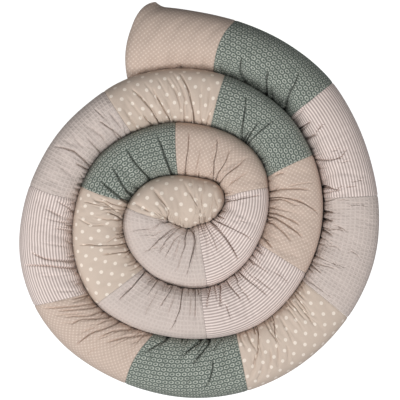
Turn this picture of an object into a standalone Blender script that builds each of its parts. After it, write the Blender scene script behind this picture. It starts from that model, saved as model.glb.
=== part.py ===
"""Crib bumper: one long stuffed tube of twenty cloth panels, wound clockwise inwards
into a flat coil that lies on its side of the cot floor or on a shelf.

Every panel is a stuffed length of the tube between two seams. The plan of the coil is
one continuous spiral line: the outer side of a turn lies on it, and so does the inner
side of the turn outside it. It is read on a clock face whose centre is COIL_CENTRE,
and it runs clockwise and inwards. Metres, +Z up, the coil rests on Z = 0.
"""
import math

import bmesh
import bpy
from mathutils import Vector

# ---------------------------------------------------------------- driving sizes
MM = 0.001
GIRTH = 0.352            # round the stuffed tube; the empty tube lies 176 mm wide
HEIGHT_LOW = 0.094       # a wide stretch of the coil is no flatter than this
HEIGHT_HIGH = 0.112      # and a squeezed one no taller
SQUARE_TOP = 2.35        # how square the section is above and below its middle
SQUARE_LOW = 2.9
TURN_GAP = 0.0010        # each side of the line that two turns share
SEAM_GAP = 0.00015       # each side of a seam, so that panels are 0.3 mm apart
AROUND = 18              # points round a section
COIL_CENTRE = (-0.0092, -0.0173)

# The open end is sewn flat across, as a pillow's end is.
END_SEAM_HEIGHT = 0.044  # the seam's height over the floor
END_SEAM_THICK = 0.005
END_SWELL = 0.075        # how far from the seam the tube is full again
END_BOW = 0.0275         # how far the middle of the seam stands out past its corners
END_BOW_LENGTH = 0.8     # share of the panel over which that bow dies out
END_EAR = 0.011          # how far the seam's outer corner sticks out of the tube's line
END_EAR_LENGTH = 0.16    # share of the panel over which it does

# The inner end is round, and is drawn in over this share of its panel.
NOSE_SHARE = 0.22
NOSE_TURN = 150.0        # degrees of clock that the last panel's outer side runs on
NOSE_BACK = 171.0        # degrees that its inner side runs back from the fold
NOSE_POWER = 1.7

# ---------------------------------------------------------------- the coil's line
# Millimetres from COIL_CENTRE, one row for each turn from the outside in, one column
# for each half hour of the clock, starting at 12:00.
COIL_LINE_MM = {
    "turn 1": (402, 390, 384, 380, 372, 369, 373, 379, 381, 382, 384, 386,
               386, 384, 384, 386, 382, 370, 350, 331, 317, 305, 299, 291),
    "turn 2": (283, 276, 270, 267, 262, 260, 259, 259, 260, 264, 268, 266,
               264, 266, 273, 280, 272, 258, 244, 233, 222, 205, 191, 181),
    "turn 3": (172, 168, 167, 166, 162, 153, 148, 145, 145, 150, 155, 161,
               163, 162, 162, 160, 158, 152, 141, 126, 110, 93, 79, 69),
    "turn 4": (64, 63, 66, 67, 66, 62, 55, 48, 41, 37, 34, 32,
               35, 41, 45, 49, 56, 61),
}
BEFORE_TWELVE_MM = (439, 425)   # the line at 11:00 and 11:30, before the first turn
STEP_DEG = 15.0

# ---------------------------------------------------------------- panels
# seam_out and seam_in: degrees clockwise from twelve where the seam that starts the
# panel meets the outer and the inner side of the tube, counted on over the turns.
# bow: millimetres by which the middle of that seam lies ahead of its ends.
COLUMNS = ("panel", "cloth", "seam_out", "seam_in", "bow")
PANELS = (
    (1, "small_print", -11.0, -27.0, 0),
    (2, "ring_print", 12.0, 7.5, -14),
    (3, "stripe", 47.5, 46.0, 0),
    (4, "waffle", 86.0, 85.5, 0),
    (5, "polka_dot", 125.5, 124.0, 0),
    (6, "ring_print", 164.0, 162.0, 0),
    (7, "small_print", 202.0, 198.5, 9),
    (8, "stripe", 239.0, 232.0, 0),
    (9, "waffle", 278.0, 274.0, -3),
    (10, "polka_dot", 322.0, 319.5, 0),
    (11, "ring_print", 372.5, 370.5, -2),
    (12, "small_print", 425.5, 426.0, -2),
    (13, "stripe", 480.5, 479.0, 0),
    (14, "waffle", 535.0, 536.5, 0),
    (15, "polka_dot", 586.0, 581.0, 0),
    (16, "ring_print", 641.0, 636.0, -4),
    (17, "small_print", 707.0, 692.0, -2),
    (18, "stripe", 794.0, 788.0, -2),
    (19, "waffle", 891.4, 892.0, 0),
    (20, "polka_dot", 990.0, 966.0, -2),
)
LAST_SEAM = {"seam_out": 990.0, "fold": 1326.0}

# The creases that the inner side of the bend gathers into. along_in and along_out are
# shares of the panel's length, at the tube's inner side and at the crease's far end;
# reach is how far across the tube it runs; depth is in millimetres.
CREASE_COLUMNS = ("panel", "along_in", "along_out", "reach", "depth")
CREASES = (
    (1, 0.60, 0.56, 0.30, 3), (1, 0.88, 0.80, 0.35, 4),
    (2, 0.31, 0.23, 0.40, 6), (2, 0.60, 0.50, 0.42, 6), (2, 0.88, 0.74, 0.68, 5),
    (3, 0.16, 0.15, 0.40, 6), (3, 0.31, 0.24, 0.42, 5), (3, 0.56, 0.61, 0.58, 5), (3, 0.88, 0.91, 0.55, 6),
    (4, 0.15, 0.13, 0.35, 5), (4, 0.36, 0.40, 0.45, 5), (4, 0.56, 0.62, 0.50, 3), (4, 0.77, 0.82, 0.45, 5),
    (5, 0.19, 0.23, 0.48, 6), (5, 0.56, 0.65, 0.50, 8), (5, 0.76, 0.88, 0.75, 8),
    (6, 0.15, 0.30, 0.60, 7), (6, 0.32, 0.48, 0.62, 8), (6, 0.46, 0.58, 0.40, 6), (6, 0.82, 0.96, 0.48, 6),
    (7, 0.10, 0.33, 0.50, 6), (7, 0.28, 0.44, 0.60, 6), (7, 0.46, 0.58, 0.70, 6), (7, 0.62, 0.73, 0.65, 5), (7, 0.82, 0.92, 0.70, 5),
    (8, 0.27, 0.33, 0.85, 6), (8, 0.37, 0.46, 0.80, 6), (8, 0.67, 0.72, 0.45, 5), (8, 0.82, 0.88, 0.60, 6),
    (9, 0.36, 0.34, 0.30, 6), (9, 0.42, 0.45, 0.75, 7), (9, 0.58, 0.62, 0.50, 6), (9, 0.87, 0.82, 0.80, 6),
    (10, 0.33, 0.20, 0.78, 6), (10, 0.47, 0.38, 0.60, 6), (10, 0.62, 0.47, 0.90, 5), (10, 0.78, 0.60, 0.92, 8),
    (11, 0.41, 0.24, 0.78, 8), (11, 0.48, 0.45, 0.50, 8), (11, 0.55, 0.57, 0.70, 6),
    (12, 0.18, 0.28, 0.80, 6), (12, 0.31, 0.48, 0.88, 7), (12, 0.53, 0.62, 0.65, 6), (12, 0.60, 0.71, 0.66, 7), (12, 0.72, 0.80, 0.60, 6),
    (13, 0.20, 0.19, 0.45, 4), (13, 0.46, 0.39, 0.62, 7), (13, 0.65, 0.60, 0.48, 7), (13, 0.76, 0.82, 0.50, 6), (13, 0.90, 0.96, 0.40, 5),
    (14, 0.09, 0.10, 0.60, 6), (14, 0.28, 0.32, 0.82, 7), (14, 0.45, 0.49, 0.50, 5), (14, 0.68, 0.70, 0.45, 5), (14, 0.95, 0.90, 0.68, 8),
    (15, 0.31, 0.37, 0.50, 5), (15, 0.41, 0.49, 0.72, 6), (15, 0.56, 0.58, 0.35, 5), (15, 0.75, 0.91, 0.60, 7),
    (16, 0.04, 0.10, 0.72, 9), (16, 0.15, 0.31, 0.85, 9), (16, 0.465, 0.49, 0.72, 9), (16, 0.86, 0.80, 0.88, 7),
    (17, 0.10, 0.12, 0.82, 6), (17, 0.62, 0.36, 0.92, 10), (17, 0.70, 0.52, 0.75, 8), (17, 0.80, 0.67, 0.76, 6),
    (18, 0.07, 0.05, 0.68, 6), (18, 0.38, 0.38, 0.35, 6), (18, 0.50, 0.44, 0.92, 7), (18, 0.62, 0.68, 0.85, 10),
    (19, 0.11, 0.16, 0.78, 11), (19, 0.31, 0.28, 0.55, 9), (19, 0.58, 0.55, 0.50, 7), (19, 0.70, 0.60, 0.80, 6), (19, 0.86, 0.78, 0.60, 8),
    (20, 0.20, 0.22, 0.35, 9), (20, 0.62, 0.50, 0.60, 6), (20, 0.72, 0.66, 0.60, 5),
)

CLOTHS = {  # base colour (linear), roughness
    "small_print": ((0.53, 0.42, 0.34), 0.9),
    "ring_print": ((0.18, 0.22, 0.185), 0.9),
    "stripe": ((0.62, 0.53, 0.49), 0.9),
    "waffle": ((0.57, 0.50, 0.46), 0.95),
    "polka_dot": ((0.55, 0.45, 0.37), 0.9),
}


# ---------------------------------------------------------------- the coil's line
def coil_knots():
    """[degrees clockwise from twelve, metres from the centre] along the whole line."""
    rows = list(BEFORE_TWELVE_MM)
    for turn in COIL_LINE_MM.values():
        rows.extend(turn)
    start = -STEP_DEG * len(BEFORE_TWELVE_MM)
    return [(start + STEP_DEG * k, mm * MM) for k, mm in enumerate(rows)]


KNOTS = coil_knots()


def line_radius(deg):
    """The line's distance from the centre, on a smooth curve through the clock table."""
    start = KNOTS[0][0]
    k = int(math.floor((deg - start) / STEP_DEG))
    k = max(1, min(len(KNOTS) - 3, k))
    a, b, c, d = (KNOTS[k + j][1] for j in (-1, 0, 1, 2))
    t = (deg - KNOTS[k][0]) / STEP_DEG
    return 0.5 * (2 * b + (c - a) * t + (2 * a - 5 * b + 4 * c - d) * t * t
                  + (3 * b - a - 3 * c + d) * t * t * t)


def on_line(deg):
    r = line_radius(deg)
    a = math.radians(deg)
    return Vector((COIL_CENTRE[0] + r * math.sin(a), COIL_CENTRE[1] + r * math.cos(a)))


# ---------------------------------------------------------------- a panel's two sides
def rows_by_panel():
    return {row[0]: dict(zip(COLUMNS, row)) for row in PANELS}


ROWS = rows_by_panel()


def sides(panel, t):
    """Plan points of the tube's outer and inner side at share t of the panel."""
    row = ROWS[panel]
    if panel == len(PANELS):
        outer = on_line(LAST_SEAM["seam_out"] + NOSE_TURN * t)
        inner = on_line(LAST_SEAM["fold"] - NOSE_BACK * max(t, 0.0) ** NOSE_POWER)
    else:
        after = ROWS[panel + 1]
        outer = on_line(row["seam_out"] + (after["seam_out"] - row["seam_out"]) * t)
        inner = on_line(row["seam_in"] + (after["seam_in"] - row["seam_in"]) * t + 360.0)
    across = (inner - outer).normalized()
    if panel == 1:
        outer -= across * END_EAR * max(0.0, 1 - t / END_EAR_LENGTH) ** 2
    return outer + across * TURN_GAP, inner - across * TURN_GAP


def bow_at(panel, t, from_inner):
    """How far ahead of its two ends a section lies at this place across the tube."""
    here = ROWS[panel]["bow"] * MM
    after = ROWS[panel + 1]["bow"] * MM if panel < len(PANELS) else 0.0
    bow = (here * (1 - t) + after * t) * (1 - (2 * from_inner - 1) ** 2)
    if panel == 1:      # the sewn end is rounder at its outer corner than its inner one
        curve = 1 - abs(2 * (1 - from_inner) ** 0.7 - 1) ** 2.6
        bow -= END_BOW * curve * max(0.0, 1 - t / END_BOW_LENGTH) ** 2
    return bow


def superellipse(angle, half_wide, half_high):
    c, s = math.cos(angle), math.sin(angle)
    power = 2.0 / (SQUARE_TOP if s >= 0 else SQUARE_LOW)
    return (math.copysign(abs(c) ** power, c) * half_wide,
            math.copysign(abs(s) ** power, s) * half_high)


def height_of(width):
    """The stuffed tube's height where it is this wide: its girth stays the same."""
    low, high = 0.02, 0.2
    for _ in range(24):
        mid = (low + high) / 2
        ring = [superellipse(2 * math.pi * k / 48, width / 2, mid / 2) for k in range(49)]
        girth = sum(math.dist(a, b) for a, b in zip(ring, ring[1:]))
        low, high = (mid, high) if girth < GIRTH else (low, mid)
    return min(HEIGHT_HIGH, max(HEIGHT_LOW, low))


def height_at(panel, t, width):
    """(height, height of the underside over the floor) of a section."""
    full = height_of(width)
    if panel == 1:
        length = 0.185
        s = max(0.0, 1 - t * length / END_SWELL)
        if s > 0:
            swell = math.sqrt(max(0.0, 1 - s * s))
            high = END_SEAM_THICK + (full - END_SEAM_THICK) * swell
            middle = full / 2 + (END_SEAM_HEIGHT - full / 2) * s * s
            return high, max(0.0, middle - high / 2)
    if panel == len(PANELS) and t > 1 - NOSE_SHARE:
        s = (t - 1 + NOSE_SHARE) / NOSE_SHARE
        high = 0.030 + (full - 0.030) * math.sqrt(max(0.0, 1 - s * s))
        return high, (full - high) * 0.42
    return full, 0.0


# ---------------------------------------------------------------- sections and creases
def section_places(panel):
    """[(share at the inner side, share at the outer side, reach, depth)] of a panel's
    sections: its two seams, one in each crease, and one on each swell between."""
    creases = [dict(zip(CREASE_COLUMNS, row)) for row in CREASES if row[0] == panel]
    creases.sort(key=lambda c: c["along_in"])
    n = len(creases)
    inner = [c["along_in"] for c in creases]
    outer = []
    for k, c in enumerate(creases):
        lean = (c["along_out"] - c["along_in"]) / c["reach"]
        lean = max(-0.22, min(0.22, lean))
        place = max(c["along_in"] + lean, (outer[-1] + 0.07) if outer else 0.05)
        outer.append(min(place, 0.95 - 0.07 * (n - 1 - k)))
    ends_in, ends_out = [0.0] + inner + [1.0], [0.0] + outer + [1.0]
    places = [(0.0, 0.0, 0.0, 0.0)]
    for k in range(n + 1):
        gap = ends_out[k + 1] - ends_out[k]
        extra = 1 if gap < 0.22 else (2 if gap < 0.40 else 3)
        for j in range(extra):
            f = (j + 1) / (extra + 1)
            places.append((ends_in[k] + (ends_in[k + 1] - ends_in[k]) * f,
                           ends_out[k] + gap * f, 0.0, 0.0))
        if k < n:
            places.append((inner[k], outer[k], creases[k]["reach"], creases[k]["depth"] * MM))
    places.append((1.0, 1.0, 0.0, 0.0))
    if panel == 1:      # the sewn end fills out fast, so it takes closer sections
        places[1:1] = [(s, s, 0.0, 0.0) for s in (0.012, 0.04, 0.085, 0.15)]
    if panel == len(PANELS):
        places[-1:-1] = [(s, s, 0.0, 0.0) for s in (0.93, 0.975)]
    places.sort()
    kept = [places[0]]
    for place in places[1:]:
        if place[1] > kept[-1][1] + 0.004 and place[0] > kept[-1][0] + 0.004:
            kept.append(place)
    if kept[-1][0] < 1.0:
        kept[-1] = (1.0, 1.0, 0.0, 0.0)
    return kept


def point(panel, share_in, share_out, angle, reach, depth):
    """A point of the skin. angle 0 is the tube's inner side, 90 degrees its crown."""
    c, _ = superellipse(angle, 1.0, 1.0)
    from_inner = (1 - c) / 2
    t = share_in + (share_out - share_in) * from_inner
    outer, inner = sides(panel, t)
    across = inner - outer
    width = across.length
    across.normalize()
    ahead = Vector((across.y, -across.x)) * (-1.0)
    high, under = height_at(panel, t, width)
    x, z = superellipse(angle, width / 2, high / 2)
    # a crease draws the skin in towards the tube's middle, most near the inner side
    if depth > 0 and from_inner < reach:
        pull = depth * math.cos(0.5 * math.pi * from_inner / reach)
        size = math.hypot(x, z)
        x, z = x * (1 - pull / size), z * (1 - pull / size)
    # the underside is flat where it rests
    z += high / 2 + under
    floor_deg = math.degrees(angle) % 360
    if under == 0.0 and 255 < floor_deg < 285:
        z = 0.0     # two neighbouring points, so a strip lies on the floor
    bow = bow_at(panel, t, from_inner)
    seam = SEAM_GAP if share_in == 0.0 else (-SEAM_GAP if share_in == 1.0 else 0.0)
    centre = (outer + inner) / 2
    flat = centre + across * x + ahead * (bow + seam)
    return Vector((flat.x, flat.y, max(0.0, z)))


def ring_angles():
    """Angles round a section: two of them sit either side of its lowest point."""
    step = 2 * math.pi / AROUND
    return [step * k for k in range(AROUND)]


def panel_rings(panel):
    return [[point(panel, a, b, angle, reach, depth) for angle in ring_angles()]
            for a, b, reach, depth in section_places(panel)]


# ---------------------------------------------------------------- building
def clear_scene():
    for obj in list(bpy.data.objects):
        bpy.data.objects.remove(obj, do_unlink=True)


def cloth_material(name):
    colour, rough = CLOTHS[name]
    material = bpy.data.materials.new("cloth_" + name)
    material.use_nodes = True
    shader = material.node_tree.nodes["Principled BSDF"]
    shader.inputs["Base Color"].default_value = (*colour, 1.0)
    shader.inputs["Roughness"].default_value = rough
    shader.inputs["Metallic"].default_value = 0.0
    return material


def make_panel(panel, rings, material):
    name = "panel_%02d_%s" % (panel, ROWS[panel]["cloth"])
    bm = bmesh.new()
    loops = [[bm.verts.new(co) for co in ring] for ring in rings]
    for first, second in zip(loops, loops[1:]):
        for k in range(AROUND):
            n = (k + 1) % AROUND
            bm.faces.new((first[k], first[n], second[n], second[k]))
    for loop in (loops[0], loops[-1]):      # closed across in upright strips
        for k in range(AROUND // 2):
            corners = (loop[k], loop[k + 1], loop[(AROUND - k - 1) % AROUND], loop[(AROUND - k) % AROUND])
            whole = [c for j, c in enumerate(corners) if c not in corners[:j]]
            if len(whole) == 3:
                bm.faces.new(whole)
            else:
                bm.faces.new(whole[:3])
                bm.faces.new((whole[0], whole[2], whole[3]))
    bmesh.ops.recalc_face_normals(bm, faces=bm.faces)
    if bm.calc_volume(signed=True) < 0:
        bmesh.ops.reverse_faces(bm, faces=bm.faces)
    bmesh.ops.triangulate(bm, faces=bm.faces)
    mesh = bpy.data.meshes.new(name)
    bm.to_mesh(mesh)
    bm.free()
    mesh.shade_smooth()
    mesh.set_sharp_from_angle(angle=math.radians(50))
    mesh.materials.append(material)
    obj = bpy.data.objects.new(name, mesh)
    bpy.context.scene.collection.objects.link(obj)
    return obj


def main():
    clear_scene()
    made = {row[0]: panel_rings(row[0]) for row in PANELS}
    points = [co for rings in made.values() for ring in rings for co in ring]
    middle = Vector(((min(p.x for p in points) + max(p.x for p in points)) / 2,
                     (min(p.y for p in points) + max(p.y for p in points)) / 2, 0.0))
    materials = {name: cloth_material(name) for name in CLOTHS}
    for panel, rings in made.items():
        centred = [[co - middle for co in ring] for ring in rings]
        make_panel(panel, centred, materials[ROWS[panel]["cloth"]])


main()
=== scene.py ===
import math

import bpy
import numpy as np
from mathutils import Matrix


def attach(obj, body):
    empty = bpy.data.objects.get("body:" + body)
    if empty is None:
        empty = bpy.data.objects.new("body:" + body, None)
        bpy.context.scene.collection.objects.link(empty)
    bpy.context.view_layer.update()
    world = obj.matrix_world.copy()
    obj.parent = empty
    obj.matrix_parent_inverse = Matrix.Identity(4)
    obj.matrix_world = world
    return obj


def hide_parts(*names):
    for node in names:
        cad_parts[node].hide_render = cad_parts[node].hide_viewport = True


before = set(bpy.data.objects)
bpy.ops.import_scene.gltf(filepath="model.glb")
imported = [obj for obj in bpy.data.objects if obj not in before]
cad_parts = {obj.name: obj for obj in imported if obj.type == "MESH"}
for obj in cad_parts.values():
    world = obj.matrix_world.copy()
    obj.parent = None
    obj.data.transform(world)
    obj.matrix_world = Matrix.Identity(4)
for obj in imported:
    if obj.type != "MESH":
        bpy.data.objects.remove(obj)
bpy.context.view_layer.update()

# ------------------------------------------------------------------ sizes, millimetres
GIRTH = 352.0            # round the stuffed tube
FLAT_LENGTH = 250.0      # a panel's length along the tube, flat
PANELS = 20
CENTRE = (-9.2, -17.3)   # the clock face's centre that the coil's line is read from
MIDDLE = (-1.6137, 0.6682)   # middle of the coil's box on that same sheet
TOP_OUTER, TOP_INNER, LOW_SQUARE = 2.85, 2.6, 2.9
FREE_OUTER = 2.2         # the same where no turn lies outside, so that it is rounder
FREE_SIDE = ((0.0, 1.5), (1.8, 1.5), (2.3, 1.0), (8.8, 1.0), (9.8, 0.0), (20.0, 0.0))
HEIGHTS = (94.0, 112.0)
TAUT_INSET = 0.2
# panels from the open end, how far the inner side keeps off the next turn, how far the
# crown sinks towards the inner side, both in mm
LOOSE_SIDE = ((0.0, 0.5, 10.0), (0.6, 0.5, 18.0), (1.05, 1.0, 24.0), (1.4, 2.5, 31.0),
              (1.9, 3.0, 31.0), (2.2, 2.5, 15.0), (2.6, 2.0, 9.0), (3.0, 3.5, 8.0),
              (3.4, 3.5, 6.0), (3.9, 1.5, 2.0), (4.3, 0.5, 0.0), (9.0, 0.5, 0.0),
              (9.3, 0.5, 5.0), (10.3, 0.5, 5.0), (10.8, 0.5, 3.0), (12.0, 0.5, -1.0),
              (12.4, 0.5, -4.0), (13.1, 0.5, -6.0), (13.9, 0.5, -6.0), (14.3, 0.5, 0.0),
              (15.8, 0.5, 2.0), (16.2, 0.5, 5.0), (16.8, 0.5, 4.0), (17.2, 0.5, -1.0),
              (18.8, 0.5, -2.0), (19.2, 0.5, 2.0), (20.0, 0.5, 2.0))
SEAM_GAP = 0.15

END_SWELL, END_SEAM_HEIGHT, END_SEAM_THICK = 75.0, 44.0, 4.0
END_BOW, END_BOW_SHARE = 29.0, 0.8
END_EAR, END_EAR_SHARE = 11.0, 0.16

# the line that two turns share: millimetres from the centre every half hour of the
# clock, from 11:00 before the first turn
LINE = (439, 425,
        402, 390, 384, 380, 372, 369, 373, 379, 381, 382, 384, 386,
        386, 384, 384, 386, 382, 370, 350, 331, 317, 305, 299, 291,
        283, 276, 270, 267, 262, 260, 259, 259, 260, 264, 268, 266,
        264, 266, 273, 280, 272, 258, 244, 233, 222, 205, 191, 181,
        172, 168, 167, 166, 162, 153, 148, 145, 145, 150, 155, 161,
        163, 162, 162, 160, 158, 152, 141, 126, 110, 93, 79, 69,
        64, 63, 66, 67, 66, 62, 55, 48, 41, 37, 34, 32,
        35, 41, 45, 49, 56, 61)
LINE_START, LINE_STEP = -30.0, 15.0

# seams: degrees at the outer side, degrees at the inner side, bow ahead in mm
SEAMS = ((-11.6, -27.8, 0), (12, 7.5, -11), (47.5, 46, 0), (86, 85.5, 0), (125.5, 124, 0),
         (164, 162, 0), (202, 198.5, 9), (239, 232, 0), (278, 274, -3), (322, 319.5, 0),
         (372.5, 370.5, -2), (425.5, 426, -2), (480.5, 479, 0), (535, 536.5, 0),
         (586, 581, 0), (641, 636, -4), (707, 692, -2), (794, 788, -2), (891.4, 892, 0),
         (990, 966, -2))
NOSE = (157.5, 178.5, 1.7)   # degrees out, degrees back, power, of the last panel

CLOTH_OF = ("small", "ring", "stripe", "waffle", "polka",
            "ring", "small", "stripe", "waffle", "polka") + \
           ("ring", "small", "stripe", "waffle", "polka") * 2
NODE_WORDS = {"small": "small_print", "ring": "ring_print", "stripe": "stripe",
              "waffle": "waffle", "polka": "polka_dot"}

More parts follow.
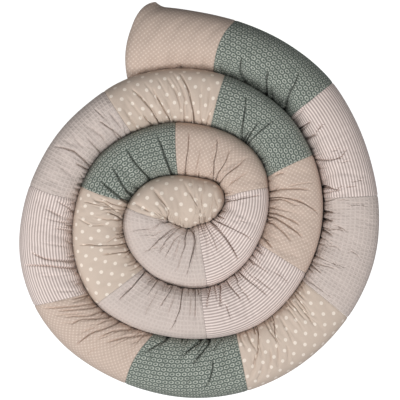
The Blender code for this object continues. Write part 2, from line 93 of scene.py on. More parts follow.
# ------------------------------------------------------------------ creases
# panel, depth mm, half width mm, sharpness 0-1, and the crease's path: share of the
# panel's length, share across the tube from its outer side
CREASES = (
    (1, 1.5, 8, .5, ((.79, .81), (.90, .99))),
    (1, 1.5, 8, .5, ((.52, .90), (.63, .99))),
    (2, 7.5, 11, 1.5, ((.74, .34), (.79, .58), (.81, .74), (.89, .99))),
    (2, 7.5, 11, 1.5, ((.51, .65), (.54, .76), (.61, .94), (.63, .99))),
    (2, 4.5, 7, 1.5, ((.63, .84), (.71, .99))),
    (2, 6.0, 10, 1.5, ((.24, .65), (.27, .85), (.35, .99))),
    (2, 3.0, 8, .5, ((.06, .86), (.09, .99))),
    (3, 4.5, 10, 1.3, ((.165, .82), (.165, .99))),
    (3, 4.5, 10, 1.3, ((.30, .82), (.30, .99))),
    (3, 2.0, 8, .5, ((.24, .61), (.30, .84))),
    (3, 3.0, 11, .8, ((.545, .41), (.60, .53), (.614, .66), (.60, .79), (.55, .99))),
    (3, 1.5, 6, .6, ((.65, .45), (.67, .60))),
    (3, 1.2, 6, .6, ((.857, .30), (.857, .45))),
    (3, 1.5, 6, .6, ((.90, .42), (.90, .60))),
    (3, 5.5, 9, 1.3, ((.93, .75), (.88, .92), (.86, .99))),
    (4, 1.2, 7, .4, ((.075, .28), (.075, .58))),
    (4, 1.0, 6, .4, ((.02, .60), (.02, .80))),
    (4, 1.8, 8, .5, ((.32, .62), (.28, .84))),
    (4, 5.0, 7, 1.4, ((.15, .88), (.15, .99))),
    (4, 5.0, 7, 1.4, ((.24, .86), (.24, .99))),
    (4, 4.0, 8, 1.2, ((.39, .85), (.36, .99))),
    (4, 1.5, 8, .4, ((.665, .50), (.665, .72))),
    (4, 2.5, 8, .5, ((.81, .81), (.79, .99))),
    (5, 2.5, 12, .2, ((.22, .58), (.20, .71), (.18, .99))),
    (5, 5.0, 14, .5, ((.63, .60), (.60, .76), (.556, .92), (.54, .99))),
    (5, 4.0, 8, 1., ((.915, .41), (.83, .61), (.80, .71), (.76, .89), (.75, .99))),
    (5, 2.6, 9, .35, ((.93, .08), (.86, .25), (.79, .45))),
    (5, 2.4, 9, .35, ((.62, .15), (.545, .50))),
    (5, 2.4, 9, .35, ((.73, .12), (.66, .40), (.62, .60))),
    (5, 2.8, 9, .35, ((.84, .10), (.74, .38), (.70, .58))),
    (5, 2.4, 9, .35, ((.99, .15), (.90, .38), (.86, .60))),
    (5, 3.0, 7, .6, ((.79, .90), (.79, .99))),
    (6, 4.5, 14, 1.5, ((.38, .15), (.31, .28), (.28, .46), (.26, .71))),
    (6, 8.5, 12, 1.5, ((.46, .61), (.42, .74), (.335, .92), (.32, .99))),
    (6, 4.5, 7, 1.5, ((.435, .79), (.40, .88), (.345, .99))),
    (6, 8.5, 12, 1.5, ((.57, .76), (.50, .89), (.43, .99))),
    (6, 3.0, 9, .6, ((.27, .82), (.15, .99))),
    (6, 1.5, 7, .5, ((.49, .20), (.46, .43))),
    (6, 5.0, 10, 1.5, ((.96, .64), (.90, .79), (.83, .94), (.82, .99))),
    (7, 4.0, 9, .8, ((.35, .55), (.24, .79), (.02, .99))),
    (7, 2.0, 8, .5, ((.21, .68), (.01, .88))),
    (7, 4.0, 9, .8, ((.44, .56), (.40, .79), (.23, .99))),
    (7, 4.0, 10, .8, ((.53, .18), (.53, .56), (.46, .89), (.45, .99))),
    (7, 4.0, 9, .8, ((.73, .41), (.72, .64), (.60, .94), (.59, .99))),
    (7, 2.5, 8, .6, ((.83, .41), (.73, .79), (.70, .99))),
    (7, 2.5, 8, .6, ((.91, .36), (.80, .92), (.79, .99))),
    (7, 2.5, 9, .6, ((.97, .15), (.86, .92), (.85, .99))),
    (7, 0.8, 7, .4, ((.40, .10), (.37, .60))),
    (7, 0.8, 7, .4, ((.12, .30), (.07, .60))),
    (7, 4.0, 6, .8, ((.98, .74), (.97, .99))),
    (8, 4.5, 10, .8, ((.34, .08), (.33, .50), (.28, .94), (.28, .99))),
    (8, 4.0, 8, .8, ((.45, .25), (.39, .50), (.35, .94), (.35, .99))),
    (8, 1.5, 8, .4, ((.10, .45), (.05, .90))),
    (8, 2.5, 9, .5, ((.86, .46), (.80, .84))),
    (8, 2.5, 8, .5, ((.69, .66), (.66, .99))),
    (8, 2.5, 8, .5, ((.96, .66), (.86, .99))),
    (8, 2.0, 6, .7, ((.12, .88), (.12, .99))),
    (8, 2.0, 6, .7, ((.40, .86), (.40, .99))),
    (8, 2.0, 6, .7, ((.72, .88), (.71, .99))),
    (9, 5.0, 10, .8, ((.38, .13), (.44, .56), (.40, .99))),
    (9, 1.5, 6, .5, ((.475, .20), (.475, .53))),
    (9, 4.0, 7, .8, ((.35, .74), (.35, .99))),
    (9, 2.5, 8, .5, ((.62, .53), (.58, .99))),
    (9, 2.0, 9, .5, ((.85, .18), (.87, .60))),
    (9, 4.0, 10, .6, ((.81, .48), (.85, .79), (.87, .99))),
    (9, 1.5, 7, .4, ((.04, .42), (.04, .79))),
    (9, 1.7, 4, .7, ((.12, .88), (.12, .99))),
    (9, 1.7, 4, .7, ((.18, .90), (.18, .99))),
    (9, 1.7, 4, .7, ((.24, .87), (.24, .99))),
    (9, 1.7, 4, .7, ((.30, .90), (.30, .99))),
    (10, 4.5, 9, .8, ((.21, .25), (.31, .74), (.34, .99))),
    (10, 4.5, 9, .8, ((.38, .40), (.47, .94), (.475, .99))),
    (10, 2.0, 7, .6, ((.50, .15), (.59, .48), (.64, .90))),
    (10, 6.0, 9, 1., ((.63, .13), (.71, .46), (.765, .84), (.776, .99))),
    (10, 3.0, 8, .6, ((.21, .79), (.25, .99))),
    (10, 1.0, 6, .5, ((.30, .12), (.40, .60))),
    (10, 1.2, 6, .5, ((.56, .08), (.66, .50), (.70, .80))),
    (10, 1.0, 6, .4, ((.90, .20), (.93, .85))),
    (11, 7.5, 11, 1.3, ((.23, .25), (.30, .56), (.42, .99))),
    (11, 7.5, 9, 1.3, ((.46, .56), (.48, .99))),
    (11, 4.5, 14, 1.3, ((.56, .30), (.53, .69), (.51, .99))),
    (11, 7.0, 8, 1.3, ((.44, .82), (.445, .99))),
    (12, 3.5, 9, .7, ((.28, .25), (.22, .76), (.21, .99))),
    (12, 1.5, 7, .5, ((.22, .12), (.20, .70))),
    (12, 5.0, 10, .8, ((.49, .10), (.37, .50), (.31, .84), (.30, .99))),
    (12, 3.0, 8, .6, ((.42, .50), (.34, .79), (.33, .99))),
    (12, 3.5, 9, .6, ((.61, .43), (.52, .87), (.51, .99))),
    (12, 5.0, 9, .8, ((.72, .33), (.58, .87), (.57, .99))),
    (12, 3.0, 8, .6, ((.79, .50), (.66, .87), (.65, .99))),
    (12, 3.5, 9, .6, ((.95, .76), (.87, .99))),
    (12, 3.0, 8, .6, ((.05, .66), (.02, .88))),
    (13, 4.5, 9, .8, ((.37, .40), (.455, .94), (.46, .99))),
    (13, 4.5, 10, .8, ((.60, .60), (.65, .94), (.66, .99))),
    (13, 1.5, 7, .5, ((.76, .36), (.76, .64))),
    (13, 4.5, 10, .8, ((.82, .64), (.755, .94), (.75, .99))),
    (13, 3.0, 9, .6, ((.96, .66), (.87, .99))),
    (13, 1.2, 7, .4, ((.20, .56), (.23, .87))),
    (13, 3.0, 6, .7, ((.08, .86), (.08, .99))),
    (13, 3.0, 6, .7, ((.25, .88), (.25, .99))),
    (13, 3.0, 6, .7, ((.53, .87), (.53, .99))),
    (14, 3.0, 8, .7, ((.093, .46), (.083, .82), (.08, .99))),
    (14, 4.0, 8, .9, ((.32, .20), (.27, .60), (.285, .99))),
    (14, 3.0, 8, .6, ((.50, .59), (.45, .94), (.45, .99))),
    (14, 2.0, 12, .1, ((.615, .33), (.615, .87))),
    (14, 2.5, 8, .5, ((.70, .66), (.70, .99))),
    (14, 5.0, 8, .9, ((.905, .36), (.905, .64), (.945, .99))),
    (14, 1.0, 5, .7, ((.18, .86), (.18, .99))),
    (14, 1.0, 5, .7, ((.38, .84), (.37, .99))),
    (14, 1.0, 5, .7, ((.57, .88), (.57, .99))),
    (14, 1.0, 5, .7, ((.80, .86), (.81, .99))),
    (15, 3.0, 9, .6, ((.37, .56), (.30, .94), (.30, .99))),
    (15, 3.5, 9, .7, ((.50, .15), (.49, .33), (.42, .84), (.41, .99))),
    (15, 1.0, 7, .4, ((.74, .10), (.65, .53))),
    (15, 1.5, 7, .5, ((.89, .17), (.89, .53))),
    (15, 3.0, 8, .6, ((.94, .57), (.83, .90))),
    (15, 4.5, 9, .8, ((.83, .70), (.73, .99))),
    (15, 2.5, 4, .7, ((.50, .86), (.50, .99))),
    (15, 2.5, 4, .7, ((.55, .88), (.55, .99))),
    (15, 0.8, 7, .4, ((.09, .12), (.03, .43))),
    (16, 9.0, 10, 1.3, ((.12, .33), (.07, .69), (.01, .89), (-.01, .99))),
    (16, 8.0, 10, 1.3, ((.28, .36), (.24, .56), (.13, .89), (.10, .99))),
    (16, 1.2, 6, .5, ((.39, .12), (.39, .31))),
    (16, 7.0, 9, 1.3, ((.49, .25), (.475, .46), (.47, .99))),
    (16, 7.0, 9, 1.3, ((.81, .20), (.835, .46), (.86, .84), (.865, .99))),
    (17, 3.5, 9, .7, ((.115, .20), (.127, .50), (.11, .99))),
    (17, 6.0, 10, .9, ((.36, .20), (.41, .38), (.46, .64), (.53, .81), (.64, .99))),
    (17, 4.0, 9, .7, ((.52, .30), (.57, .53), (.61, .84), (.68, .99))),
    (17, 3.0, 9, .6, ((.67, .25), (.70, .40), (.70, .73), (.75, .99))),
    (18, 3.0, 8, .6, ((.05, .20), (.08, .76), (.09, .99))),
    (18, 4.0, 9, .7, ((.46, .15), (.46, .38), (.50, .94), (.50, .99))),
    (18, 7.0, 9, 1., ((.68, .15), (.64, .50), (.60, .94), (.60, .99))),
    (18, 3.0, 6, .7, ((.38, .86), (.38, .99))),
    (19, 6.0, 9, 1., ((.16, .25), (.15, .46), (.10, .76), (.14, .90), (.35, .99))),
    (19, 3.5, 8, .9, ((.27, .50), (.27, .71), (.35, .89), (.38, .99))),
    (19, 3.0, 8, .7, ((.50, .40), (.57, .64), (.62, .90))),
    (19, 3.0, 8, .7, ((.59, .28), (.66, .71), (.70, .90))),
    (19, 2.0, 8, .5, ((.82, .20), (.82, .56))),
    (19, 3.0, 8, .8, ((.80, .56), (.93, .87), (.96, .99))),
    (20, 3.0, 7, .8, ((.05, .12), (.05, .53))),
    (20, 4.0, 9, .7, ((.20, .20), (.24, .73))),
    (20, 9.0, 11, 1., ((.21, .78), (.12, .94), (.02, .99))),
    (20, 2.5, 10, .7, ((.44, .13), (.56, .50), (.67, .82))),
    (20, 2.0, 8, .6, ((.81, .33), (.87, .77))),
    (20, 3.0, 6, .7, ((.63, .84), (.63, .99))),
    (20, 3.0, 6, .7, ((.71, .86), (.71, .99))),
    (5, 1.2, 5, .9, ((.25, .30), (.22, .90))),
    (5, 1.0, 5, .9, ((.50, .35), (.46, .95))),
    (5, 1.2, 5, .9, ((.35, .45), (.33, .99))),
    (7, 1.5, 5, .9, ((.30, .45), (.12, .99))),
    (7, 1.2, 5, .9, ((.62, .30), (.55, .80))),
    (7, 1.2, 5, .9, ((.66, .50), (.52, .99))),
    (7, 1.5, 5, .9, ((.88, .25), (.77, .85))),
    (7, 1.2, 5, .9, ((.48, .30), (.36, .85))),
    (7, 1.2, 5, .9, ((.80, .20), (.68, .70))),
    (8, 1.2, 5, .9, ((.25, .30), (.22, .95))),
    (8, 1.2, 5, .9, ((.55, .35), (.50, .95))),
    (8, 1.0, 5, .9, ((.78, .40), (.74, .95))),
    (9, 1.2, 5, .9, ((.55, .25), (.52, .70))),
    (9, 1.2, 5, .9, ((.70, .35), (.73, .90))),
    (9, 1.0, 5, .9, ((.25, .40), (.24, .80))),
    (9, 1.2, 5, .9, ((.93, .35), (.95, .90))),
    (10, 1.2, 5, .9, ((.14, .30), (.20, .90))),
    (10, 1.0, 5, .9, ((.82, .30), (.86, .95))),
    (10, 1.2, 5, .9, ((.43, .15), (.53, .70))),
    (12, 1.2, 5, .9, ((.50, .45), (.43, .99))),
    (13, 1.2, 5, .9, ((.52, .45), (.56, .95))),
    (13, 1.0, 5, .9, ((.30, .35), (.36, .85))),
    (14, 1.2, 5, .9, ((.15, .45), (.14, .90))),
    (14, 1.2, 5, .9, ((.40, .45), (.37, .85))),
    (17, 1.2, 5, .9, ((.80, .35), (.85, .90))),
    (17, 1.0, 5, .9, ((.25, .40), (.28, .90))),
    (19, 1.5, 5, .9, ((.42, .35), (.50, .85))),
    (19, 1.2, 5, .9, ((.70, .40), (.78, .85))),
    (19, 1.2, 5, .9, ((.33, .45), (.42, .85))),
)

# ------------------------------------------------------------------ grid
ALONG = 154              # quads along a panel
TOP_POINTS, LOW_POINTS = 122, 32
# cloth simulation: how far threads shorten before they buckle, how hard they press,
# how much cloth shows over the bare surface (the rest is tucked under the next turn),
# bending, the filling's push in mm a step, sideways slip in mm, steps
COMPRESS, PRESS, GATHERED = 0.95, 0.40, 1.6
BEND_ALONG, BEND_ROUND = 0.012, 0.045
PUSH, DRIFT, STEPS = 0.013, 3.0, 64
# how far a fold closes up beyond what the grid can show: most, and the start, in mm
CLOSED, CLOSED_RING, CLOSING = 3.0, 4.5, 3.2


# ------------------------------------------------------------------ the coil's line
def line_point(deg):
    """Points of the shared line, on a Catmull-Rom curve through LINE."""
    deg = np.asarray(deg, float)
    knots = np.array(LINE, float)
    x = (deg - LINE_START) / LINE_STEP
    k = np.clip(np.floor(x).astype(int), 1, len(knots) - 3)
    t = x - k
    a, b, c, d = (knots[k + j] for j in (-1, 0, 1, 2))
    r = 0.5 * (2 * b + (c - a) * t + (2 * a - 5 * b + 4 * c - d) * t ** 2
               + (3 * b - a - 3 * c + d) * t ** 3)
    ang = np.radians(deg)
    return np.stack([CENTRE[0] + r * np.sin(ang), CENTRE[1] + r * np.cos(ang)], -1)


def rails(S):
    """Plan points of the tube's outer and inner side at S panels from the open end."""
    S = np.clip(S, 0.0, PANELS)
    p = np.minimum(np.floor(S).astype(int), PANELS - 1)
    t = S - p
    out = np.array([s[0] for s in SEAMS] + [SEAMS[-1][0] + NOSE[0]], float)
    inn = np.array([s[1] + 360.0 for s in SEAMS] + [0.0], float)
    outer = out[p] + (out[p + 1] - out[p]) * t
    inner = inn[p] + (inn[p + 1] - inn[p]) * t
    last = p == PANELS - 1
    inner = np.where(last, inn[PANELS - 1] - NOSE[1] * t ** NOSE[2], inner)
    return line_point(outer), line_point(inner)


# ------------------------------------------------------------------ the section
def superellipse(beta, outer=TOP_OUTER):
    c, s = np.cos(beta), np.sin(beta)
    power = np.where(s < 0, 2.0 / LOW_SQUARE,
                     np.where(c < 0, 2.0 / outer, 2.0 / TOP_INNER))
    return np.sign(c) * np.abs(c) ** power, np.sign(s) * np.abs(s) ** power


def girth_table(outer=TOP_OUTER, half_w=54.0, half_h=53.0, n=8192):
    """Unit section against distance round it, from the bottom, up the inner side."""
    beta = np.linspace(-math.pi / 2, 1.5 * math.pi, n + 1)
    x, z = superellipse(beta, outer)
    step = np.hypot(np.diff(x * half_w), np.diff(z * half_h))
    g = np.concatenate([[0], np.cumsum(step)])
    g = g / g[-1] * GIRTH
    g -= np.interp(0.0, beta, g)        # 0 at the inner side
    return g, x, z


G_TAB, X_TAB, Z_TAB = girth_table()
G_LOW = G_TAB[0]                         # the bottom, below the inner side
G_TOP = np.interp(math.pi / 2, np.linspace(-math.pi / 2, 1.5 * math.pi, len(G_TAB)), G_TAB)
G_OUT = np.interp(math.pi, np.linspace(-math.pi / 2, 1.5 * math.pi, len(G_TAB)), G_TAB)


def around_places():
    """Distances round the girth, close together above and wider apart below."""
    a, b = -14.0, G_OUT + 14.0
    top = np.linspace(a, b, TOP_POINTS)
    half = LOW_POINTS // 2
    f = (np.arange(1, half + 1)) / (half + 0.5)
    left = a - (a - G_LOW) * f[::-1]
    right = b + (G_LOW + GIRTH - b) * f
    return np.concatenate([left, top, right])


G_PLACES = around_places()
M = len(G_PLACES)
X_UNIT = np.interp(G_PLACES, G_TAB, X_TAB)
Z_UNIT = np.interp(G_PLACES, G_TAB, Z_TAB)
FREE_TAB = girth_table(FREE_OUTER)
X_FREE = np.interp(G_PLACES, FREE_TAB[0], FREE_TAB[1]) - X_UNIT
Z_FREE = np.interp(G_PLACES, FREE_TAB[0], FREE_TAB[2]) - Z_UNIT
MIRRORED_G = np.where(G_PLACES < 0, -G_PLACES, np.where(
    G_PLACES > G_OUT, 2 * G_OUT - G_PLACES, G_PLACES))
# how far creases may go in: little where the next turn presses on the inner side
OPEN_TOUCH = {2: 0.75, 3: 0.85, 4: 0.8, 6: 0.45, 11: 0.2, 12: 0.25, 17: 0.25}


def touch(panel):
    least = OPEN_TOUCH.get(panel, 0.08)
    above = np.clip((G_PLACES - 4.0) / 20.0, least, 1.0)
    return np.where(G_PLACES < 0, np.clip((-G_PLACES - 35.0) / 30.0, least, 0.7), above)


TOUCH = {panel: touch(panel) for panel in range(1, PANELS + 1)}


def g_of_across(v):
    """Distance round the top from the inner side, at share v from the outer side."""
    top = (G_TAB >= 0) & (G_TAB <= G_OUT)
    return np.interp(-(2 * np.asarray(v, float) - 1), -X_TAB[top], G_TAB[top])


def height_table():
    widths = np.linspace(4, 200, 400)
    beta = np.linspace(0, 2 * math.pi, 721)
    x, z = superellipse(beta)
    highs = []
    for w in widths:
        lo, hi = 10.0, 220.0
        for _ in range(22):
            mid = (lo + hi) / 2
            ring = np.hypot(np.diff(x * w / 2), np.diff(z * mid / 2)).sum()
            lo, hi = (mid, hi) if ring < GIRTH else (lo, mid)
        highs.append(lo)
    return widths, np.clip(highs, *HEIGHTS)


W_TAB, H_TAB = height_table()


def base_points(S):
    """Plain stuffed tube at S (rows, M): points in mm, before creases."""
    outer, inner = rails(S)
    across = inner - outer
    width = np.linalg.norm(across, axis=-1)
    across /= np.maximum(width, 1e-6)[..., None]
    ear = END_EAR * np.maximum(0, 1 - S / END_EAR_SHARE) ** 2
    outer = outer - across * ear[..., None]
    width = width + ear
    shrink = np.minimum(1.0, width / 40.0)
    outer = outer + across * (TAUT_INSET * shrink)[..., None]
    places, gaps, sinks = np.array(LOOSE_SIDE).T
    gap = np.interp(S, places, gaps)
    inner = inner - across * (gap * shrink)[..., None]
    width = width - (TAUT_INSET + gap) * shrink
    ahead = np.stack([-across[..., 1], across[..., 0]], -1)
    high = np.interp(width, W_TAB, H_TAB)
    under = np.zeros_like(high)
    # the flat-sewn outer end
    s = np.maximum(0, 1 - S * 185.0 / END_SWELL)
    swell = np.sqrt(np.maximum(0, 1 - s ** 2.2))
    end_high = END_SEAM_THICK + (high - END_SEAM_THICK) * swell
    middle = high / 2 + (END_SEAM_HEIGHT - high / 2) * s ** 2
    at_end = s > 0
    under = np.where(at_end, np.maximum(0, middle - end_high / 2), under)
    high = np.where(at_end, end_high, high)
    # the round inner end
    in_nose = S > PANELS - 0.5
    full = np.interp(104.0, W_TAB, H_TAB)
    dome = full * np.sin(0.5 * math.pi * np.clip(width / 96.0, 0, 1)) ** 0.9
    nose_high = np.minimum(high, dome)
    under = np.where(in_nose, (high - nose_high) * 0.40, under)
    high = np.where(in_nose, nose_high, high)
    from_inner = (1 - X_UNIT) / 2
    p = np.minimum(np.floor(S).astype(int), PANELS - 1)
    t = S - p
    bows = np.array([s_[2] for s_ in SEAMS] + [0.0])
    bow = (bows[p] * (1 - t) + bows[p + 1] * t) * (1 - (2 * from_inner - 1) ** 2)
    curve = 1 - np.abs(2 * (1 - from_inner) ** 0.7 - 1) ** 2.6
    bow = bow - END_BOW * curve * np.maximum(0, 1 - S / END_BOW_SHARE) ** 2
    mid = (outer + inner) / 2
    free = np.interp(S, *np.array(FREE_SIDE).T)
    x_unit, z_unit = X_UNIT + X_FREE * free, Z_UNIT + Z_FREE * free
    flat = mid + across * (x_unit * width / 2)[..., None] + ahead * bow[..., None]
    z = under + high / 2 + z_unit * high / 2
    z = z - np.interp(S, places, sinks) * np.clip((X_UNIT - 0.1) / 0.9, 0, 1) ** 2 \
        * np.clip(Z_UNIT + 0.2, 0, 1)
    return np.concatenate([flat, z[..., None]], -1)


def normals_of(P):
    """Outward normals of a (rows, M, 3) grid that closes round the girth."""
    du = np.gradient(P, axis=0)
    dv = np.roll(P, -1, 1) - np.roll(P, 1, 1)
    n = np.cross(du, dv)
    n /= np.maximum(np.linalg.norm(n, axis=-1), 1e-9)[..., None]
    return n


# ------------------------------------------------------------------ creases as functions
def lengths_of_panels():
    """Local length of a panel, in mm, at each place round the girth."""
    t = np.linspace(0, 1, 41)
    rows = []
    for p in range(PANELS):
        P = base_points(np.repeat((p + t)[:, None], M, 1))
        rows.append(np.linalg.norm(np.diff(P, axis=0), axis=-1).sum(0))
    return np.maximum(np.array(rows), 12.0)


LENGTHS = lengths_of_panels()
FLAT_OF = LENGTHS.max(1)                 # a panel's own length, as its taut side shows it
# cloth to spare on a panel's inner half, beyond what the bend leaves over
SPARE = {2: 0.14, 3: 0.05, 4: 0.03, 6: 0.08, 10: 0.04, 11: 0.05}
INNER_SHARE = np.clip((G_OUT * 0.72 - MIRRORED_G) / 60.0, 0, 1)
SPARE_OF = np.array([1 + SPARE.get(p + 1, 0.0) * INNER_SHARE for p in range(PANELS)])


def crease_line(path):
    """Share of the panel's length against |g|, and the crease's two ends in |g|."""
    ts = np.array([q[0] for q in path], float)
    gs = g_of_across([q[1] for q in path])
    order = np.argsort(gs)
    gs, ts = gs[order], ts[order]
    fine = np.linspace(gs[0], gs[-1], 60)
    smooth = np.interp(fine, gs, ts)
    for _ in range(6):
        smooth[1:-1] = 0.25 * smooth[:-2] + 0.5 * smooth[1:-1] + 0.25 * smooth[2:]
    return fine, smooth


def crease_rows(rng):
    """The listed creases, and seeded small gathers and faint creases beside them."""
    rows = []
    for panel, depth, wide, sharp, path in CREASES:
        g, t = crease_line(path)
        to_edge = path[-1][1] >= 0.985
        side = 1.0 if rng.random() < 0.5 else -1.0
        rows.append((panel, depth, wide, sharp, g, t, to_edge, side))
    # small gathers along the inner side, closer where the tube bends more
    for panel in range(1, PANELS + 1):
        mid_in = np.interp(0.0, G_PLACES, LENGTHS[panel - 1])
        count = int(round(min(max(mid_in / 17.0, 4), 11)))
        count = {1: 3, 14: 4, 20: 4}.get(panel, count)
        places = (np.arange(count) + rng.uniform(0.1, 0.9, count)) / count
        for place in places:
            long_one = rng.random() < 0.3
            reach = rng.uniform(0.45, 0.75) if long_one else rng.uniform(0.74, 0.92)
            lean = rng.uniform(-0.05, 0.05) * (1.6 if long_one else 1.0)
            g, t = crease_line(((place + lean, reach), (place + 0.3 * lean, 0.5 + 0.5 * reach),
                                (place, 0.99)))
            rows.append((panel, rng.uniform(0.5, 1.7), rng.uniform(3.0, 6.0),
                         rng.uniform(0.5, 0.9), g, t, True, 1.0 if rng.random() < 0.5 else -1.0))
    # faint creases that reach over the crown
    for panel in range(2, PANELS + 1):
        for _ in range(4):
            a = rng.uniform(0.05, 0.95)
            v0 = rng.uniform(0.15, 0.5)
            v1 = v0 + rng.uniform(0.2, 0.4)
            g, t = crease_line(((a, v0), (a + rng.uniform(-0.06, 0.06), v1)))
            rows.append((panel, rng.uniform(0.25, 0.8), rng.uniform(4, 8), 0.6, g, t,
                         False, 1.0))
    return rows


def crease_at_girth(row):
    """(t, wide depth, sharp depth) at each girth place, zero where it doesn't run."""
    panel, depth, wide, sharp, g, t, to_edge, _ = row
    G = MIRRORED_G.copy()
    below = (G_PLACES < 0) | (G_PLACES > G_OUT)
    lo, hi = g[0], g[-1]
    q = np.clip((hi - G) / max(hi - lo, 1e-6), 0, 1.2)      # 0 far end, 1 inner end
    inside = (G <= hi) & ((G >= lo) | to_edge)
    if to_edge:
        rise = np.clip(q / 0.55, 0, 1)
        wide_part = rise * rise * (3 - 2 * rise)
        sharp_part = np.clip(q / 0.22, 0, 1) ** 0.6
    else:
        bell = np.clip(np.minimum(q, 1 - q) / 0.4, 0, 1)
        wide_part = bell * bell * (3 - 2 * bell)
        sharp_part = np.clip(np.minimum(q, 1 - q) / 0.2, 0, 1)
        inside &= ~below
    place = np.interp(G, g, t)
    on = np.where(inside, TOUCH[panel], 0.0)
    return place, depth * wide_part * on, depth * sharp_part * on, q


def trough(s, wide):
    u = np.clip(1 - np.abs(s) / wide, 0, 1)
    return u * u


def crease_depth(S, rows):
    """How far the skin is drawn in, in mm, at grid S (rows, M), and how deep the notches
    are where a fold stays open."""
    D = np.zeros_like(S)
    open_fold = np.zeros_like(S)
    for row in rows:
        panel, depth, wide, sharp = row[:4]
        side = row[7]
        place, dw, ds, q = crease_at_girth(row)
        if not (dw.any() or ds.any()):
            continue
        length = LENGTHS[panel - 1]
        off = (S - (panel - 1) - place) * length
        slope = np.gradient(place * length, G_PLACES)
        off = off / np.sqrt(1 + np.clip(slope, -3, 3) ** 2)
        if not (np.abs(off) < wide * 1.6).any():
            continue
        # one flank falls steeply, the other is long and soft
        lean = np.where(off * side > 0, 1.35, 0.6)
        share = min(sharp, 1.0)
        D += (dw * (1.0 - 0.45 * share)) * trough(off, wide * lean)
        # the fold itself, which gapes towards the inner side
        gape = 1.0 + 0.10 * q + max(sharp - 1, 0) * (
            1.6 * q + 3.0 * np.exp(-(MIRRORED_G / 28.0) ** 2))
        D += (ds * 1.15 * share) * np.exp(-(np.abs(off) / gape) ** 1.5)
        if depth >= 2.5 and sharp >= 0.6:
            notch = min(1.25 * depth, 10.0) / depth * ds
            open_fold = np.maximum(open_fold, notch * np.exp(-(np.abs(off) / (gape + 0.1)) ** 3))
        # the cloth rides up a little either side of the crease
        D -= dw * 0.13 * np.exp(-((np.abs(off) - wide * lean) / (wide * 0.5)) ** 2)
    return D, open_fold


def waves(rng, count, length_along, length_round, S_mm, g):
    """Smooth unevenness of about unit size: a sum of seeded waves."""
    total = np.zeros_like(S_mm)
    for _ in range(count):
        a = rng.uniform(0.6, 1.5) / length_along
        n = max(1, int(round(GIRTH / length_round * rng.uniform(0.5, 1.5))))
        total += np.sin(2 * math.pi * (S_mm * a + g * n / GIRTH) + rng.uniform(0, 6.28)) \
            if rng.random() < 0.5 else \
            np.sin(2 * math.pi * (S_mm * a - g * n / GIRTH) + rng.uniform(0, 6.28))
    return total / math.sqrt(count / 2)


# ------------------------------------------------------------------ the whole skin
def grid_lines(rows):
    """S of every grid point: the cloth that a bend leaves over is gathered in the creases."""
    fine = np.linspace(0, 1, 500)
    S = np.zeros((PANELS, ALONG + 1, M))
    by_panel = {p: [r for r in rows if abs(r[0] - 1 - p) <= 1] for p in range(PANELS)}
    for p in range(PANELS):
        bare = np.clip(LENGTHS[p] / (0.97 * FLAT_OF[p] * SPARE_OF[p]), 0.2, 1.0)
        weight = np.full((len(fine), M), 0.03)
        for row in by_panel[p]:
            if row[1] < 0.6:
                continue
            place, dw, ds, _ = crease_at_girth(row)
            off = (p + fine[:, None] - (row[0] - 1) - place) * LENGTHS[row[0] - 1]
            weight += (0.3 * dw + ds) * np.exp(-(off / 2.4) ** 2)
        share = (1 / bare - 1) / weight.mean(0)
        density = 1 + np.minimum(3.5, share * weight)
        if p == 0:
            density += 6 * np.exp(-fine / 0.05)[:, None]
        if p == PANELS - 1:
            density += 2 * np.exp(-(1 - fine) / 0.05)[:, None]
        # even out round the girth, so that neighbouring lines don't cross over
        for _ in range(10):
            density = 0.25 * np.roll(density, 1, 1) + 0.5 * density + 0.25 * np.roll(density, -1, 1)
        cum = np.cumsum(density, 0)
        cum = (cum - cum[0]) / (cum[-1] - cum[0])
        want = np.linspace(0, 1, ALONG + 1)
        for k in range(M):
            S[p, :, k] = p + np.interp(want, cum[:, k], fine)
    return S


def hold(A, B, low, high, give, press):
    """Half the move that brings the distance from A to B back between low and high."""
    d = B - A
    size = np.sqrt(d[0] * d[0] + d[1] * d[1] + d[2] * d[2])
    over = np.maximum(size - high, 0) * give + np.minimum(size - low, 0) * press
    d *= 0.5 * over / np.maximum(size, 0.02)
    return d


